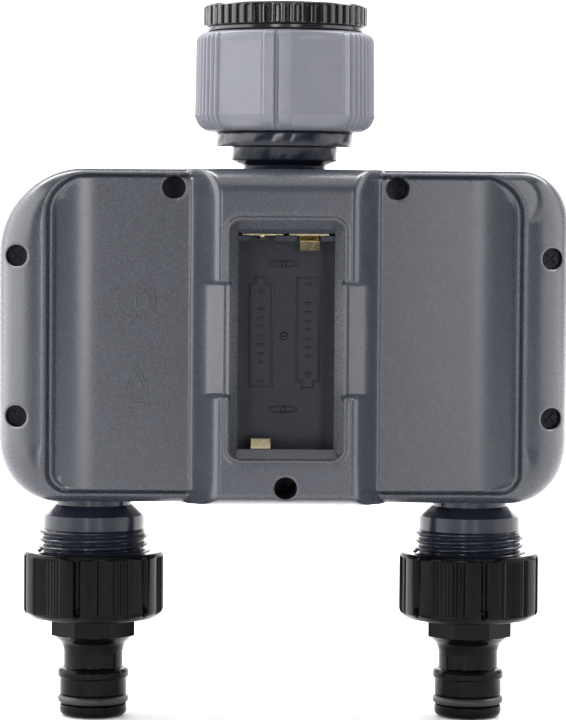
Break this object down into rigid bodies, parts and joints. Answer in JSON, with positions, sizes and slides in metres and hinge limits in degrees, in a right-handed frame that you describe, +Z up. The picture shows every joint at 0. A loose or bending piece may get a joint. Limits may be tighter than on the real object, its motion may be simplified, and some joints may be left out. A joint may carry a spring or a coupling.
{
  "type": "drip irrigation timer",
  "caption": "Battery-powered two-outlet drip irrigation timer with swivel tap nut, threaded tap adapter, open battery bay and screw-on hose connectors.",
  "frame": {"origin": "on the inlet axis, at the top rim of the tap adapter where its internal thread starts", "axes": "+Z up along the inlet axis towards the tap; -Y is the battery side, +Y the display side; +X to the right seen from the battery side"},
  "size_m": [0.135, 0.052, 0.1695],
  "materials": {
    "shell_grey": "fine-grained satin housing plastic",
    "nut_grey": "light grey satin plastic",
    "fitting_slate": "smooth dark slate plastic",
    "tray_slate": "dark grey satin plastic",
    "fitting_black": "semi-gloss black plastic",
    "rubber": "black sealing rubber",
    "natural_plastic": "unpigmented plastic",
    "steel": "stainless or plated steel",
    "contact_nickel": "plated spring metal",
    "coil_copper": "taped copper winding",
    "board_green": "solder-masked board",
    "lead_sleeve": "insulated wire",
    "button_grey": "light grey button plastic",
    "window_clear": "clear display window"
  },
  "bodies": {
    "housing": {"rear_shell": "shell_grey", "front_shell": "shell_grey", "shell_seal": "rubber", "case_screws": "steel", "battery_tray": "tray_slate", "tray_screws": "steel", "contact_plus": "contact_nickel", "contact_minus": "contact_nickel", "contact_bridge": "contact_nickel", "battery_leads": "lead_sleeve", "inlet_manifold": "fitting_slate", "neck_seal": "rubber", "nut_retainer": "steel", "inlet_washer": "rubber", "inlet_strainer": "natural_plastic", "left_valve_body": "fitting_slate", "left_diaphragm": "rubber", "left_diaphragm_spring": "steel", "left_bonnet": "natural_plastic", "left_bonnet_screws": "steel", "left_coil": "coil_copper", "left_yoke": "steel", "left_plunger_spring": "steel", "left_coil_leads": "lead_sleeve", "left_manifold_seal": "rubber", "right_valve_body": "fitting_slate", "right_diaphragm": "rubber", "right_diaphragm_spring": "steel", "right_bonnet": "natural_plastic", "right_bonnet_screws": "steel", "right_coil": "coil_copper", "right_yoke": "steel", "right_plunger_spring": "steel", "right_coil_leads": "lead_sleeve", "right_manifold_seal": "rubber", "circuit_board": "board_green", "board_screws": "steel", "tact_switches": "fitting_black", "lcd_module": "natural_plastic", "lcd_window": "window_clear"},
    "inlet_nut": {"inlet_nut": "nut_grey"},
    "tap_washer": {"tap_washer": "rubber"},
    "inlet_adapter": {"inlet_adapter": "fitting_black"},
    "left_plunger": {"left_plunger": "steel"},
    "left_outlet_washer": {"left_outlet_washer": "rubber"},
    "left_connector": {"left_connector": "fitting_black", "left_connector_seal": "rubber"},
    "right_plunger": {"right_plunger": "steel"},
    "right_outlet_washer": {"right_outlet_washer": "rubber"},
    "right_connector": {"right_connector": "fitting_black", "right_connector_seal": "rubber"},
    "up_button": {"up_button": "button_grey"},
    "down_button": {"down_button": "button_grey"},
    "set_button": {"set_button": "button_grey"},
    "left_valve_button": {"left_valve_button": "button_grey"},
    "right_valve_button": {"right_valve_button": "button_grey"}
  },
  "joints": [
    {"name": "inlet_nut_spin", "type": "hinge", "parent": "housing", "child": "inlet_nut", "pos_m": [0, 0, -0.018], "axis": [0, 0, 1], "continuous": true},
    {"name": "adapter_rise", "type": "slide", "parent": "inlet_nut", "child": "tap_washer", "axis": [0, 0, 1], "range_m": [0, 0.00924]},
    {"name": "adapter_turn", "type": "hinge", "parent": "tap_washer", "child": "inlet_adapter", "pos_m": [0, 0, -0.01], "axis": [0, 0, 1], "range_deg": [0, 1440]},
    {"name": "left_connector_drop", "type": "slide", "parent": "housing", "child": "left_outlet_washer", "axis": [0, 0, 1], "range_m": [-0.00726, 0]},
    {"name": "left_connector_turn", "type": "hinge", "parent": "left_outlet_washer", "child": "left_connector", "pos_m": [-0.045, 0, -0.138], "axis": [0, 0, 1], "range_deg": [-1440, 0]},
    {"name": "left_plunger_lift", "type": "slide", "parent": "housing", "child": "left_plunger", "axis": [0, 0, 1], "range_m": [0, 0.0016], "stiffness_N_per_m": 80, "springref_m": -0.003, "deforming": ["left_plunger_spring"]},
    {"name": "right_connector_drop", "type": "slide", "parent": "housing", "child": "right_outlet_washer", "axis": [0, 0, 1], "range_m": [-0.00726, 0]},
    {"name": "right_connector_turn", "type": "hinge", "parent": "right_outlet_washer", "child": "right_connector", "pos_m": [0.045, 0, -0.138], "axis": [0, 0, 1], "range_deg": [-1440, 0]},
    {"name": "right_plunger_lift", "type": "slide", "parent": "housing", "child": "right_plunger", "axis": [0, 0, 1], "range_m": [0, 0.0016], "stiffness_N_per_m": 80, "springref_m": -0.003, "deforming": ["right_plunger_spring"]},
    {"name": "up_press", "type": "slide", "parent": "housing", "child": "up_button", "axis": [0, -1, 0], "range_m": [0, 0.0008], "stiffness_N_per_m": 300, "springref_m": -0.001},
    {"name": "down_press", "type": "slide", "parent": "housing", "child": "down_button", "axis": [0, -1, 0], "range_m": [0, 0.0008], "stiffness_N_per_m": 300, "springref_m": -0.001},
    {"name": "set_press", "type": "slide", "parent": "housing", "child": "set_button", "axis": [0, -1, 0], "range_m": [0, 0.0008], "stiffness_N_per_m": 300, "springref_m": -0.001},
    {"name": "left_valve_press", "type": "slide", "parent": "housing", "child": "left_valve_button", "axis": [0, -1, 0], "range_m": [0, 0.0008], "stiffness_N_per_m": 300, "springref_m": -0.001},
    {"name": "right_valve_press", "type": "slide", "parent": "housing", "child": "right_valve_button", "axis": [0, -1, 0], "range_m": [0, 0.0008], "stiffness_N_per_m": 300, "springref_m": -0.001}
  ],
  "couplings": [
    {"joint": "adapter_turn", "follows": "adapter_rise", "rad_per_m": 2721.1},
    {"joint": "left_connector_turn", "follows": "left_connector_drop", "rad_per_m": 3463.7},
    {"joint": "right_connector_turn", "follows": "right_connector_drop", "rad_per_m": 3463.7}
  ]
}
